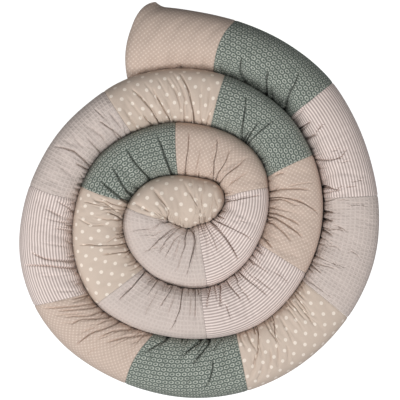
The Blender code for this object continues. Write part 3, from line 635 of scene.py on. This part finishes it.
def settle(X, B, n, h, least, room_in, room_out, steps):
    """Cloth simulation of the skin. Threads hold their length, the filling presses the
    skin out, and it may move only between the tube's surface and the room under it, so
    what the bends leave over folds in where the creases begin."""
    X, B, n = (np.ascontiguousarray(np.moveaxis(a, -1, 0), dtype=np.float32) for a in (X, B, n))
    h, least = h.astype(np.float32), least.astype(np.float32)
    room_in, room_out = room_in.astype(np.float32), room_out.astype(np.float32)
    h2 = 0.5 * (h[1:] + h[:-1])                      # thread length from row to row
    Bk = np.roll(B, -1, 2) - B
    around = np.sqrt((Bk * Bk).sum(0))
    Bj = B[:, 1:] - B[:, :-1]
    along = np.sqrt((Bj * Bj).sum(0))
    cosine = (Bj * Bk[:, :-1]).sum(0) / np.maximum(along * around[:-1], 1e-3)
    cosine = np.clip(cosine, -0.8, 0.8)
    cross_a = np.sqrt(h2 ** 2 + around[:-1] ** 2 + 2 * h2 * around[:-1] * cosine)
    cross_b = np.sqrt(h2 ** 2 + around[:-1] ** 2 - 2 * h2 * around[:-1] * cosine)
    low_j = h2 * least[1:]
    high_j = np.maximum(h2 * 1.02, along * 1.01)
    low_k, high_k = around * 0.90, around * 1.03
    for step in range(steps):
        # threads along the tube
        for a in (0, 1):
            A_, B_ = X[:, a:-1:2], X[:, a + 1::2]
            d = hold(A_, B_, low_j[a::2], high_j[a::2], 0.9, PRESS)
            A_ += d
            B_ -= d
        # threads round it
        for a in (0, 1):
            Y = X if a == 0 else np.roll(X, -1, 2)
            d = hold(Y[:, :, 0::2], Y[:, :, 1::2],
                     (low_k if a == 0 else np.roll(low_k, -1, 1))[:, 0::2],
                     (high_k if a == 0 else np.roll(high_k, -1, 1))[:, 0::2], 0.9, 0.3)
            Y[:, :, 0::2] += d
            Y[:, :, 1::2] -= d
            if a:
                X = np.roll(Y, 1, 2)
        # the weave shears, but not freely
        for a in (0, 1):
            for turn, rest in ((-1, cross_a), (1, cross_b)):
                other = np.roll(X[:, a + 1::2], turn, 2)
                if turn == -1:
                    size = rest[a::2]
                else:
                    size = np.roll(rest, 1, 1)[a::2]
                A_ = X[:, a:-1:2]
                d = hold(A_, other, size * 0.86, size * 1.10, 0.4, 0.15)
                A_ += d
                X[:, a + 1::2] -= np.roll(d, -turn, 2)
        # bending
        L = X[:, 2:] + X[:, :-2] - 2 * X[:, 1:-1]
        X[:, 2:-2] -= BEND_ALONG * (L[:, 2:] + L[:, :-2] - 2 * L[:, 1:-1])
        L = np.roll(X, 1, 2) + np.roll(X, -1, 2) - 2 * X
        X -= BEND_ROUND * (np.roll(L, 1, 2) + np.roll(L, -1, 2) - 2 * L)
        # the filling
        d = X - B
        s = (d * n).sum(0)
        lift = np.clip(s + PUSH, -room_in, room_out) - s
        X += n * lift
        if step % 3 == 2:
            d = X - B
            s = (d * n).sum(0)
            t = d - n * s
            size = np.sqrt((t * t).sum(0))
            X -= t * (1 - 1 / np.maximum(size / DRIFT, 1))
    return np.moveaxis(X, 0, -1).astype(float)


def last_coords(S):
    """Cloth coordinates of the last panel: its print lies straight over the round end."""
    return end_coords(np.minimum(S, PANELS - 0.004), math.radians(-18.0))


def first_coords(S):
    """Cloth coordinates of the first panel: its print lies straight over the flat end."""
    return end_coords(S, math.radians(9.5))


def end_coords(S, a):
    """Plan coordinates turned by an angle, which run on down the sides."""
    B = base_points(S)
    x, y = B[..., 0], B[..., 1]
    step = np.roll(B, -1, 1) - B
    steep = np.linalg.norm(step, axis=-1) - np.hypot(step[..., 0], step[..., 1])
    steep = np.concatenate([np.zeros((len(S), 1)), np.cumsum(steep, 1)], 1)
    crown = int(np.argmin(np.abs(G_PLACES - G_TOP)))
    steep = steep - steep[:, crown:crown + 1]
    u, v = x * math.cos(a) - y * math.sin(a), x * math.sin(a) + y * math.cos(a)
    u, v = (np.concatenate([c, c[:, :1]], 1) for c in (u, v))
    return [u, v + steep]


def build_skin():
    rng = np.random.RandomState(11)
    rows = crease_rows(rng)
    S = grid_lines(rows)
    # one long grid, so that creases and normals run on across the seams
    flat = np.concatenate([S[p][:-1] for p in range(PANELS)] + [S[-1][-1:]], 0)
    B = base_points(np.minimum(flat, PANELS - 0.004))
    n = normals_of(B)
    g = np.broadcast_to(G_PLACES, flat.shape)
    S_mm = flat * FLAT_LENGTH
    D, open_fold = crease_depth(flat, rows)
    D = 14.0 * np.tanh(D / 14.0)
    from_inner = np.exp(-(MIRRORED_G / 60.0) ** 2)
    taut = 1 - np.clip((MIRRORED_G - G_OUT + 62.0) / 40.0, 0, 1)
    # stuffing is never quite even, least of all where the cloth is slack
    D += taut * (0.55 * waves(rng, 14, 70.0, 90.0, S_mm, g)
                 + 0.25 * waves(rng, 18, 24.0, 60.0, S_mm, g)
                 + 0.14 * from_inner * waves(rng, 30, 10.0, 120.0, S_mm, g))
    # each sewn seam draws the cloth in, with small puckers beside it
    near = np.abs(flat - np.round(flat)) * FLAT_LENGTH
    seam = (np.round(flat) > 0) & (np.round(flat) < PANELS)
    pucker = np.sin(2 * math.pi * g / 9.5 + 3.0 * np.sin(2 * math.pi * g / 41.0) + np.round(flat) * 2.1)
    stitched = np.where(seam, 1.1 * np.exp(-(near / 2.2) ** 1.5)
                        + 0.14 * pucker * np.exp(-(near / 8.0) ** 2), 0)
    fade = np.clip((PANELS - flat) / 0.12, 0, 1) * np.clip(flat / 0.10, 0, 1)
    start = B - n * (D * fade)[..., None]
    rows_touch = np.array([TOUCH[min(r // ALONG, PANELS - 1) + 1] for r in range(len(flat))])
    room_in = 1.0 + 14.0 * rows_touch * (1 - np.clip((MIRRORED_G - G_OUT + 45.0) / 40.0, 0, 1))
    room_out = np.clip((G_OUT - 20.0 - MIRRORED_G) / 45.0, 0.15, 1.8) * np.clip(MIRRORED_G / 16.0, 0.1, 1)
    room_out = np.where(G_PLACES < 0, 0.2, np.where(G_PLACES > G_OUT, 0.2, room_out))
    h = np.repeat(SPARE_OF * (FLAT_OF / ALONG)[:, None], ALONG, 0)
    h = np.concatenate([h, h[-1:]], 0)
    for _ in range(20):
        h[1:-1] = 0.25 * h[:-2] + 0.5 * h[1:-1] + 0.25 * h[2:]
    # where the bend is tight the rest of the cloth is tucked under the next turn
    least = np.minimum(COMPRESS, GATHERED * LENGTHS / FLAT_OF[:, None])
    least = np.repeat(least, ALONG, 0)
    least = np.concatenate([least, least[-1:]], 0)
    P = settle(start, B, n, h, least, room_in, room_out[None, :], STEPS)
    s = ((P - B) * n).sum(-1)
    soft = s.copy()
    for _ in range(10):
        soft[1:-1] = 0.25 * soft[:-2] + 0.5 * soft[1:-1] + 0.25 * soft[2:]
    deep = np.maximum(soft - s, 0)
    most = np.array([CLOSED_RING if c == "ring" else CLOSED for c in CLOTH_OF])
    most = np.append(np.repeat(most, ALONG), most[-1])[:, None]
    closed = np.maximum(most * np.tanh((deep / CLOSING) ** 1.4), 1.1 * deep)
    above = (G_PLACES > -6) & (G_PLACES < G_OUT - 12)
    lower = (closed - deep) * rows_touch * above
    lower = np.where(open_fold > 0.3, np.maximum(lower, (s + open_fold) * above), lower)
    P = P - n * lower[..., None]
    keep = (np.clip((PANELS - flat) / 0.30, 0, 1) * np.clip(flat / 0.25, 0, 1))[..., None]
    P = start + (P - start) * keep
    P = P - n * (stitched * fade)[..., None]
    # the underside lies on the floor
    P[..., 2] = np.maximum(0, P[..., 2] - 1.2)
    P[..., 0] -= MIDDLE[0]
    P[..., 1] -= MIDDLE[1]
    return P, S


TURNED = {2: 11.0, 6: -6.0}      # degrees that a panel was cut off the straight


def straighten(u, along, across, stiff_along, stiff_across, steps=260):
    """Least-squares cloth coordinate with these wanted steps along and across the grid,
    held at both seams, by conjugate gradients."""
    def pull(x_along, x_across):
        f, s = stiff_along * x_along, stiff_across * x_across
        out = np.zeros_like(u)
        out[:-1] -= f
        out[1:] += f
        out -= s
        out += np.roll(s, 1, 1)
        out[0] = out[-1] = 0
        return out

    def steps_of(x):
        return np.diff(x, axis=0), np.roll(x, -1, 1) - x

    scale = np.zeros_like(u)
    scale[:-1] += stiff_along
    scale[1:] += stiff_along
    scale += stiff_across + np.roll(stiff_across, 1, 1)
    da, dk = steps_of(u)
    r = -pull(da - along, dk - across)
    z = r / scale
    d = z.copy()
    rz = (r * z).sum()
    for _ in range(steps):
        Ad = pull(*steps_of(d))
        a = rz / max((d * Ad).sum(), 1e-12)
        u = u + a * d
        r = r - a * Ad
        z = r / scale
        new = (r * z).sum()
        d = z + d * (new / max(rz, 1e-12))
        rz = new
    return u


def flat_coords(p, grid):
    """Cloth coordinates in mm, along and round, at each grid point of panel p and once
    more for the first place round, after a full turn. What the bend leaves over lies in
    the folds, where the grid is close, and the print is straight between them."""
    step = np.diff(grid[p], axis=0)
    closeness = np.clip(1 - step / np.percentile(step, 85, axis=0), 0, 1)
    share = closeness ** 1.5 + 0.01
    bare = step * LENGTHS[p]
    along = bare + (FLAT_OF[p] - LENGTHS[p]) * share / share.sum(0)
    u = np.concatenate([np.zeros((1, M)), np.cumsum(along, 0)], 0)
    u = u * (FLAT_OF[p] / u[-1])
    wide = np.abs(np.append(np.diff(G_PLACES), G_PLACES[0] + GIRTH - G_PLACES[-1]))
    across = (np.roll(grid[p], -1, 1) - grid[p]) * 0.5 * (LENGTHS[p] + np.roll(LENGTHS[p], -1))
    soft = np.clip(closeness * 1.6, 0, 1)
    at_rows = np.concatenate([soft[:1], 0.5 * (soft[1:] + soft[:-1]), soft[-1:]], 0)
    bare = np.maximum(bare, 0.15)
    at_bare = np.concatenate([bare[:1], 0.5 * (bare[1:] + bare[:-1]), bare[-1:]], 0)
    u = straighten(u, along, across, (wide / bare) * (1 - 0.97 * soft),
                   (at_bare / wide) * (1 - 0.95 * at_rows))
    u = np.concatenate([u, u[:, :1]], 1)
    S = p + np.repeat(np.arange(ALONG + 1)[:, None] / ALONG, M, 1)
    B = base_points(np.minimum(S, PANELS - 0.02))
    step = np.linalg.norm(np.roll(B, -1, 1) - B, axis=-1)
    v = np.concatenate([np.zeros((ALONG + 1, 1)), np.cumsum(step, 1)], 1)
    crown = int(np.argmin(np.abs(G_PLACES - G_TOP)))
    v = v - v[:, crown:crown + 1]
    for _ in range(30):
        v[1:-1] = 0.25 * v[:-2] + 0.5 * v[1:-1] + 0.25 * v[2:]
    a = math.radians(TURNED.get(p + 1, 0.0))
    return u * math.cos(a) - v * math.sin(a), u * math.sin(a) + v * math.cos(a)


def make_mesh(name, P, coords, offset):
    rows = P.shape[0]
    verts = P.reshape(-1, 3) * 0.001
    j, k = np.meshgrid(np.arange(rows - 1), np.arange(M), indexing="ij")
    k2 = (k + 1) % M
    quads = np.stack([j * M + k, (j + 1) * M + k, (j + 1) * M + k2, j * M + k2], -1).reshape(-1, 4)
    uu, vv = (np.stack([c[j, k], c[j + 1, k], c[j + 1, k + 1], c[j, k + 1]], -1).reshape(-1)
              for c in coords)
    faces = [tuple(q) for q in quads.tolist()]
    uvs = [np.stack([uu, vv], -1)]
    for row, ahead in ((0, False), (rows - 1, True)):
        base = row * M
        ring_uv = np.stack([c[row, :M] for c in coords], -1)
        for q in range(M // 2 - 1):
            a, b = q, q + 1
            c, d = M - 1 - q, M - 2 - q
            ids = (a, b, d, c)
            if not ahead:
                ids = ids[::-1]
            ids = ids if a != c else ids[:3]
            faces.append(tuple(base + i for i in ids))
            uvs.append(ring_uv[list(ids)])
    mesh = bpy.data.meshes.new(name)
    mesh.from_pydata(verts.tolist(), [], faces)
    layer = mesh.uv_layers.new(name="cloth")
    uv = (np.concatenate(uvs, 0) + np.array(offset)) * 0.001
    layer.data.foreach_set("uv", uv.astype(np.float32).ravel())
    mesh.polygons.foreach_set("use_smooth", np.ones(len(mesh.polygons), bool))
    mesh.update()
    obj = bpy.data.objects.new(name, mesh)
    bpy.context.scene.collection.objects.link(obj)
    return obj


# ------------------------------------------------------------------ materials
class Maker:
    """Short names for the nodes of one material."""

    def __init__(self, name):
        self.mat = bpy.data.materials.new(name)
        self.mat.use_nodes = True
        self.nodes = self.mat.node_tree.nodes
        self.links = self.mat.node_tree.links
        self.shader = self.nodes["Principled BSDF"]
        uv = self.nodes.new("ShaderNodeUVMap")
        uv.uv_map = "cloth"
        scale = self.nodes.new("ShaderNodeVectorMath")
        scale.operation = "SCALE"
        scale.inputs["Scale"].default_value = 1000.0       # millimetres of cloth
        self.links.new(uv.outputs[0], scale.inputs[0])
        self.mm = scale.outputs[0]
        sep = self.nodes.new("ShaderNodeSeparateXYZ")
        self.links.new(self.mm, sep.inputs[0])
        self.u, self.v = sep.outputs[0], sep.outputs[1]

    def math(self, op, a, b=None, c=None, clamp=False):
        node = self.nodes.new("ShaderNodeMath")
        node.operation = op
        node.use_clamp = clamp
        for i, value in enumerate((a, b, c)):
            if value is None:
                continue
            if isinstance(value, (int, float)):
                node.inputs[i].default_value = value
            else:
                self.links.new(value, node.inputs[i])
        return node.outputs[0]

    def cell(self, coord, period, shift=0.0):
        """Distance from the middle of the nearest cell, in mm, signed."""
        x = self.math("ADD", coord, shift)
        return self.math("SUBTRACT", self.math("FLOORED_MODULO", x, period), period / 2)

    def step(self, x, low, high):
        """0 below low, 1 above high, smooth between."""
        node = self.nodes.new("ShaderNodeMapRange")
        node.interpolation_type = "SMOOTHSTEP"
        node.inputs["From Min"].default_value = low
        node.inputs["From Max"].default_value = high
        self.links.new(x, node.inputs["Value"])
        return node.outputs[0]

    def mix(self, fac, a, b):
        node = self.nodes.new("ShaderNodeMix")
        node.data_type = "RGBA"
        for value, socket in ((fac, node.inputs[0]), (a, node.inputs[6]), (b, node.inputs[7])):
            if isinstance(value, (int, float)):
                socket.default_value = value
            elif isinstance(value, tuple):
                socket.default_value = (*value, 1.0)
            else:
                self.links.new(value, socket)
        return node.outputs[2]

    def noise(self, scale, detail=2.0, rough=0.5, vector=None, size=(1, 1, 1)):
        mapping = self.nodes.new("ShaderNodeMapping")
        mapping.inputs["Scale"].default_value = size
        self.links.new(vector or self.mm, mapping.inputs[0])
        node = self.nodes.new("ShaderNodeTexNoise")
        node.inputs["Scale"].default_value = scale
        node.inputs["Detail"].default_value = detail
        node.inputs["Roughness"].default_value = rough
        self.links.new(mapping.outputs[0], node.inputs["Vector"])
        return node.outputs[0]

    def bump(self, height, distance, strength=1.0, normal=None):
        node = self.nodes.new("ShaderNodeBump")
        node.inputs["Distance"].default_value = distance
        node.inputs["Strength"].default_value = strength
        self.links.new(height, node.inputs["Height"])
        if normal is not None:
            self.links.new(normal, node.inputs["Normal"])
        return node.outputs[0]

    def weave(self, pitch):
        """Plain weave: threads over and under, 0 to 1."""
        k = 2 * math.pi / pitch
        a = self.math("SINE", self.math("MULTIPLY", self.u, k))
        b = self.math("SINE", self.math("MULTIPLY", self.v, k))
        return self.math("MULTIPLY_ADD", self.math("MULTIPLY", a, b), 0.5, 0.5)

    def ellipse(self, du, dv, half_u, half_v):
        x = self.math("DIVIDE", du, half_u)
        y = self.math("DIVIDE", dv, half_v)
        return self.math("SQRT", self.math("ADD", self.math("MULTIPLY", x, x),
                                           self.math("MULTIPLY", y, y)))

    def finish(self, colour, normal, rough=0.88, sheen=0.06, tint=(1, 1, 1)):
        # thread colours are never quite even, and washing leaves soft lighter places
        blotch = self.noise(0.012, 3.0, 0.6)
        fleck = self.noise(0.9, 1.0, 0.5, size=(1, 0.35, 1))
        value = self.math("MULTIPLY_ADD", blotch, 0.10, 0.95)
        value = self.math("MULTIPLY", value, self.math("MULTIPLY_ADD", fleck, 0.10, 0.95))
        node = self.nodes.new("ShaderNodeVectorMath")
        node.operation = "SCALE"
        self.links.new(colour, node.inputs[0])
        self.links.new(value, node.inputs["Scale"])
        self.links.new(node.outputs[0], self.shader.inputs["Base Color"])
        self.links.new(normal, self.shader.inputs["Normal"])
        rough_out = self.math("MULTIPLY_ADD", fleck, 0.12, rough - 0.06)
        self.links.new(rough_out, self.shader.inputs["Roughness"])
        self.shader.inputs["Metallic"].default_value = 0.0
        self.shader.inputs["Specular IOR Level"].default_value = 0.15
        self.shader.inputs["Sheen Weight"].default_value = sheen
        self.shader.inputs["Sheen Roughness"].default_value = 0.6
        self.shader.inputs["Sheen Tint"].default_value = (*tint, 1.0)
        return self.mat


def lin(r, g, b):
    """sRGB 0-255 to the linear values that shaders take."""
    def one(c):
        c /= 255.0
        return c / 12.92 if c <= 0.04045 else ((c + 0.055) / 1.055) ** 2.4
    return one(r), one(g), one(b)


def polka():
    m = Maker("polka_dot_cotton")
    p, q, r = 30.0, 33.0, 3.8
    dots = None
    for shift in (0.0, 0.5):
        du = m.cell(m.u, p, shift * p)
        dv = m.cell(m.v, q, shift * q)
        d = m.ellipse(du, dv, 1.0, 1.0)
        dots = d if dots is None else m.math("MINIMUM", dots, d)
    edge = m.math("ADD", dots, m.math("MULTIPLY_ADD", m.noise(1.2, 1.0), 0.5, -0.25))
    inside = m.step(edge, r + 0.5, r - 0.5)
    ground = m.mix(m.weave(0.62), lin(201, 181, 163), lin(208, 189, 172))
    colour = m.mix(inside, ground, lin(235, 220, 204))
    n = m.bump(m.weave(0.62), 0.00012, 0.5)
    n = m.bump(inside, 0.00005, 0.3, n)
    return m.finish(colour, n)


def small():
    m = Maker("small_print_cotton")
    p, q = 9.8, 9.8
    dots = None
    for shift in (0.0, 0.5):
        du = m.cell(m.u, p, shift * p)
        dv = m.cell(m.v, q, shift * q)
        d = m.ellipse(du, dv, 1.0, 1.0)
        dots = d if dots is None else m.math("MINIMUM", dots, d)
    inside = m.step(dots, 1.75, 0.7)
    dash = None
    for shift in (0.0, 0.5):
        du = m.cell(m.u, p, (shift + 0.5) * p)
        dv = m.cell(m.v, q, shift * q)
        d = m.ellipse(du, dv, 1.9, 1.3)
        dash = d if dash is None else m.math("MINIMUM", dash, d)
    dark = m.math("MULTIPLY", m.step(dash, 1.2, 0.4), 0.3)
    ground = m.mix(m.weave(0.62), lin(195, 172, 156), lin(204, 182, 165))
    colour = m.mix(dark, ground, lin(172, 146, 127))
    colour = m.mix(m.math("MULTIPLY", inside, 0.6), colour, lin(237, 221, 205))
    n = m.bump(m.weave(0.62), 0.00012, 0.5)
    return m.finish(colour, n)


def ring():
    m = Maker("ring_print_cotton")
    p, q = 13.0, 17.5
    colour = m.mix(m.weave(0.62), lin(102, 109, 100), lin(113, 119, 110))
    rings = lines = None
    wobble = m.math("MULTIPLY_ADD", m.noise(0.35, 1.0), 0.30, -0.15)
    for shift in (0.0, 0.5):
        du = m.cell(m.u, p, shift * p)
        dv = m.cell(m.v, q, shift * q)
        # a pointed oval, a little longer on one side
        d = m.ellipse(m.math("ADD", du, m.math("MULTIPLY", m.math("ABSOLUTE", dv), 0.25)), dv,
                      5.5, 3.8)
        rings = d if rings is None else m.math("MINIMUM", rings, d)
    rings = m.math("ADD", rings, wobble)
    band = m.math("SUBTRACT", m.step(rings, 0.54, 0.68), m.step(rings, 0.84, 0.98))
    inside = m.step(rings, 0.70, 0.54)
    core = m.step(rings, 0.36, 0.18)
    # the print is a little uneven, ring by ring
    ink = m.math("MULTIPLY_ADD", m.noise(0.09, 1.0), 1.3, 0.20, clamp=True)
    # dark waves run along the cloth between the rows of rings
    wave = m.math("MULTIPLY", m.math("COSINE", m.math("MULTIPLY", m.u, 2 * math.pi / p)), 1.5)
    for shift, sign in ((0.25, 1), (0.75, -1)):
        dv = m.cell(m.v, q, shift * q)
        d = m.math("ABSOLUTE", m.math("ADD", dv, m.math("MULTIPLY", wave, sign)))
        lines = d if lines is None else m.math("MINIMUM", lines, d)
    line = m.step(lines, 1.15, 0.45)
    colour = m.mix(m.math("MULTIPLY", line, 0.9), colour, lin(58, 68, 60))
    colour = m.mix(m.math("MULTIPLY", inside, 0.6), colour, lin(131, 137, 126))
    colour = m.mix(m.math("MULTIPLY", band, ink), colour, lin(198, 199, 185))
    colour = m.mix(m.math("MULTIPLY", core, 0.8), colour, lin(68, 78, 68))
    n = m.bump(m.weave(0.62), 0.00012, 0.5)
    return m.finish(colour, n)


def stripe():
    m = Maker("stripe_cotton")
    p = 5.9
    dv = m.math("ABSOLUTE", m.cell(m.v, p))
    inside = m.step(dv, 1.9, 1.1)
    light = m.mix(m.weave(0.62), lin(232, 215, 205), lin(238, 222, 212))
    dark = m.mix(m.weave(0.62), lin(179, 159, 150), lin(187, 168, 159))
    colour = m.mix(inside, light, dark)
    n = m.bump(m.weave(0.62), 0.00012, 0.5)
    n = m.bump(inside, 0.0001, 0.4, n)
    return m.finish(colour, n)


def waffle():
    m = Maker("waffle_cotton")
    ku, kv = 8.0, 9.6
    a = m.math("ABSOLUTE", m.math("SINE", m.math("MULTIPLY", m.u, math.pi / ku)))
    b = m.math("ABSOLUTE", m.math("SINE", m.math("MULTIPLY", m.v, math.pi / kv)))
    ridge = m.math("MAXIMUM", m.math("SUBTRACT", 1.0, a), m.math("SUBTRACT", 1.0, b))
    height = m.math("POWER", ridge, 1.3)
    # painted shade: the hollows of the waffle cells are painted darker, where the relief's own shade
    # falls
    floor = m.step(height, 0.35, 0.0)
    colour = m.mix(m.weave(0.7), lin(201, 185, 175), lin(211, 195, 184))
    colour = m.mix(m.math("MULTIPLY", floor, 0.32), colour, lin(177, 159, 148))
    # painted highlight: the ridge tops of the waffle are painted lighter
    colour = m.mix(m.math("MULTIPLY", m.step(height, 0.5, 1.0), 0.30), colour, lin(223, 207, 196))
    n = m.bump(height, 0.0012, 0.65)
    n = m.bump(m.weave(0.7), 0.00015, 0.5, n)
    return m.finish(colour, n, rough=0.92, sheen=0.08)


# ------------------------------------------------------------------ build the pieces
MATERIALS = {"polka": polka(), "small": small(), "ring": ring(), "stripe": stripe(),
             "waffle": waffle()}
rng_uv = np.random.RandomState(5)
skin, grid = build_skin()
for p in range(PANELS):
    part = skin[p * ALONG:(p + 1) * ALONG + 1].copy()
    # a hair's breadth of room at each seam
    for row, other, sign in ((0, 1, 1.0), (-1, -2, 1.0)):
        if (row == 0 and p == 0) or (row == -1 and p == PANELS - 1):
            continue
        step = part[other] - part[row]
        size = np.maximum(np.linalg.norm(step, axis=-1, keepdims=True), 1e-3)
        part[row] = part[row] + step / size * np.minimum(SEAM_GAP, size * 0.3)
    cloth = CLOTH_OF[p]
    offset = (rng_uv.uniform(0, 60), rng_uv.uniform(0, 30))
    name = "cloth_panel_%02d_%s" % (p + 1, NODE_WORDS[cloth])
    coords = first_coords(grid[0]) if p == 0 else \
        last_coords(grid[-1]) if p == PANELS - 1 else flat_coords(p, grid)
    piece = make_mesh(name, part, coords, offset)
    piece.data.materials.append(MATERIALS[cloth])
    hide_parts("panel_%02d_%s" % (p + 1, NODE_WORDS[cloth]))
    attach(piece, "root")


# ------------------------------------------------------------------ floor, lights, camera
def footprint(inset):
    """The coil's outline on the floor, in metres, so many mm inside its edge."""
    outer, inner = rails(np.linspace(0.10 + 0.0025 * inset, 9.18, 180))
    across = inner - outer
    across /= np.linalg.norm(across, axis=-1)[:, None]
    around = outer + across * inset
    end = base_points(np.zeros((1, M)))[0]
    end = end[(G_PLACES > 8) & (G_PLACES < G_OUT - 8)][::6, :2]
    half = 0.5 * np.linalg.norm(end[-1] - end[0])
    end = end.mean(0) + (end - end.mean(0)) * (1 - inset / half)
    ahead = np.array([-across[0, 1], across[0, 0]])
    return (np.concatenate([around, end + ahead * inset]) - MIDDLE) * 0.001


def floor():
    """Paper with a painted glow, white all round the coil so that it is white up to its edge; within the
    coil's outline it has no glow, which is painted shade under the coil.
    """
    far = footprint(0)
    far = 8.0 * far / np.linalg.norm(far, axis=-1)[:, None]
    rings = [footprint(45), footprint(8), far]
    count = len(far)
    faces = [tuple(range(count))[::-1]]
    for r in (0, 1):
        for i in range(count):
            j = (i + 1) % count
            faces.append((r * count + i, r * count + j, (r + 1) * count + j, (r + 1) * count + i))
    mesh = bpy.data.meshes.new("floor")
    mesh.from_pydata([(x, y, 0) for ring_ in rings for x, y in ring_.tolist()], [], faces)
    glow = mesh.color_attributes.new("glow", "FLOAT_COLOR", "POINT")
    # painted shade under the coil: no glow on the ring 45 mm inside its edge or in the middle; painted
    # glow from 8 mm inside the edge outwards
    for i in range(3 * count):
        light = 0.0 if i < count else 1.0
        glow.data[i].color = (light, light, light, 1)
    obj = bpy.data.objects.new("floor", mesh)
    bpy.context.scene.collection.objects.link(obj)
    obj.location.z = -0.0002
    mat = bpy.data.materials.new("floor_paper_painted_glow")
    mat.use_nodes = True
    shader = mat.node_tree.nodes["Principled BSDF"]
    shader.inputs["Base Color"].default_value = (0.20, 0.20, 0.20, 1)
    shader.inputs["Roughness"].default_value = 0.9
    shader.inputs["Specular IOR Level"].default_value = 0.0
    # the floor's whiteness is a painted glow, emission taken from the glow colour, not light from the
    # lamps
    node = mat.node_tree.nodes.new("ShaderNodeVertexColor")
    node.layer_name = "glow"
    mat.node_tree.links.new(node.outputs["Color"], shader.inputs["Emission Color"])
    shader.inputs["Emission Strength"].default_value = 1.0
    mesh.materials.append(mat)
    # the glow falls on nothing but the paper
    lit = bpy.data.collections.new("floor_only")
    lit.objects.link(obj)
    obj.light_linking.receiver_collection = lit


def area_light(name, energy, size, place, colour=(1, 1, 1)):
    light = bpy.data.lights.new(name, "AREA")
    light.energy = energy
    light.shape = "DISK"
    light.size = size
    light.color = colour
    obj = bpy.data.objects.new(name, light)
    obj.location = place
    from mathutils import Vector
    obj.rotation_euler = (Vector((0, 0, 0)) - Vector(place)).to_track_quat("-Z", "Y").to_euler()
    bpy.context.scene.collection.objects.link(obj)


floor()
world = bpy.data.worlds.new("studio")
bpy.context.scene.world = world
world.use_nodes = True
world.node_tree.nodes["Background"].inputs["Color"].default_value = (1, 1, 1, 1)
world.node_tree.nodes["Background"].inputs["Strength"].default_value = 0.02
COOL = (0.97, 1.0, 1.045)
area_light("key", 26.5, 1.2, (-0.9, -2.1, 2.7), COOL)
area_light("top", 87.5, 4.0, (-0.1, -0.92, 3.0), COOL)
area_light("left", 27.0, 1.4, (-2.7, 0.0, 1.2), COOL)
area_light("right", 18.0, 1.4, (2.7, 0.0, 1.2), COOL)

camera = bpy.data.cameras.new("camera")
camera.sensor_width = 36.0
CAMERA_HEIGHT, VIEW_WIDTH, VIEW_LEVEL = 2.6, 0.813, 0.055
camera.lens = 36.0 * (CAMERA_HEIGHT - VIEW_LEVEL) / VIEW_WIDTH
cam = bpy.data.objects.new("camera", camera)
cam.location = (-MIDDLE[0] * 0.001, -MIDDLE[1] * 0.001, CAMERA_HEIGHT)
cam.rotation_euler = (0, 0, 0)
bpy.context.scene.collection.objects.link(cam)
bpy.context.scene.camera = cam
bpy.context.scene.view_settings.view_transform = "Standard"
